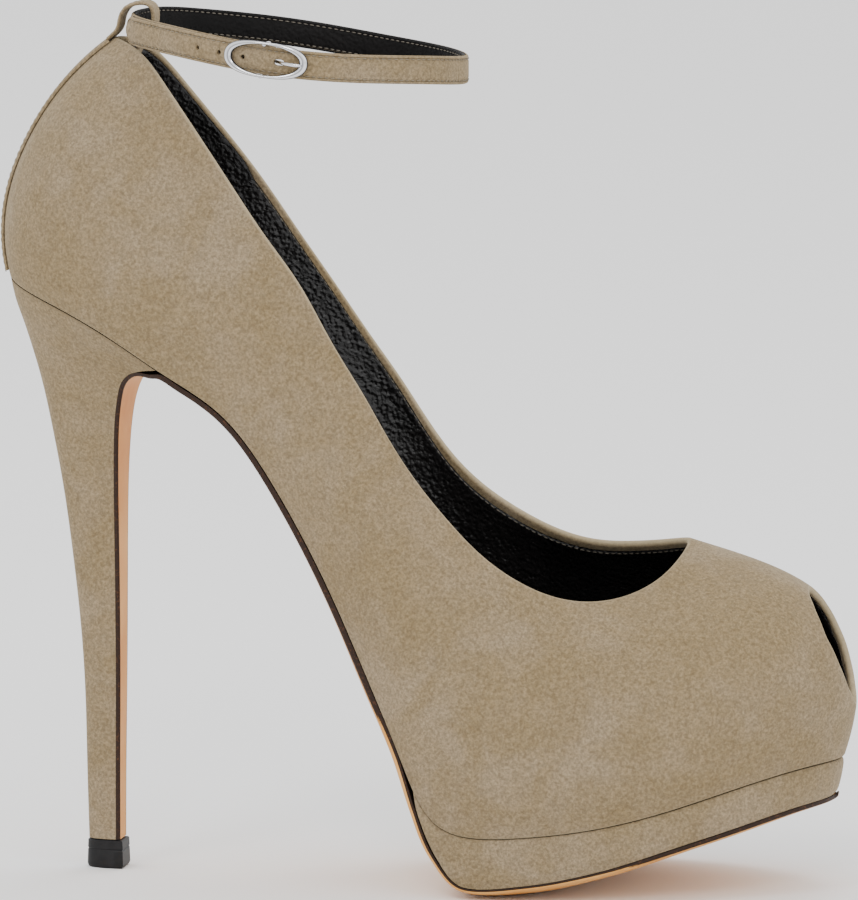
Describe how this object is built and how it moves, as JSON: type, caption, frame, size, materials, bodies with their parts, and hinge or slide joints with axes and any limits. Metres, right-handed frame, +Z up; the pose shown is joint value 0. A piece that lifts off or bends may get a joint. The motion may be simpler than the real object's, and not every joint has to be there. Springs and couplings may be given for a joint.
{
  "type": "ankle strap pump",
  "caption": "Right suede platform pump with a peep toe, a high slim heel and a thin buckled ankle strap, standing empty on its sole.",
  "frame": {"origin": "centre of the bounding box's base, on the floor that the heel tip and the tread stand on", "axes": "+X from heel to toe, +Y towards the inner side of the foot, +Z up"},
  "size_m": [0.2216, 0.083, 0.2233],
  "materials": {
    "upper_suede": "brushed suede, black leather lining inside",
    "platform_suede": "brushed suede",
    "heel_suede": "brushed suede",
    "strap_suede": "brushed suede on black leather",
    "strip_suede": "brushed suede",
    "insole_leather": "black grained leather",
    "sole_leather": "smooth tan leather with a dark stained edge",
    "tip_rubber": "satin",
    "buckle_metal": "polished",
    "prong_metal": "polished"
  },
  "bodies": {
    "root": {"upper": "upper_suede", "insole": "insole_leather", "platform": "platform_suede", "outsole": "sole_leather", "heel": "heel_suede", "heel_tip": "tip_rubber", "back_strip": "strip_suede", "ankle_strap": "strap_suede", "buckle": "buckle_metal", "buckle_prong": "prong_metal"}
  },
  "joints": []
}
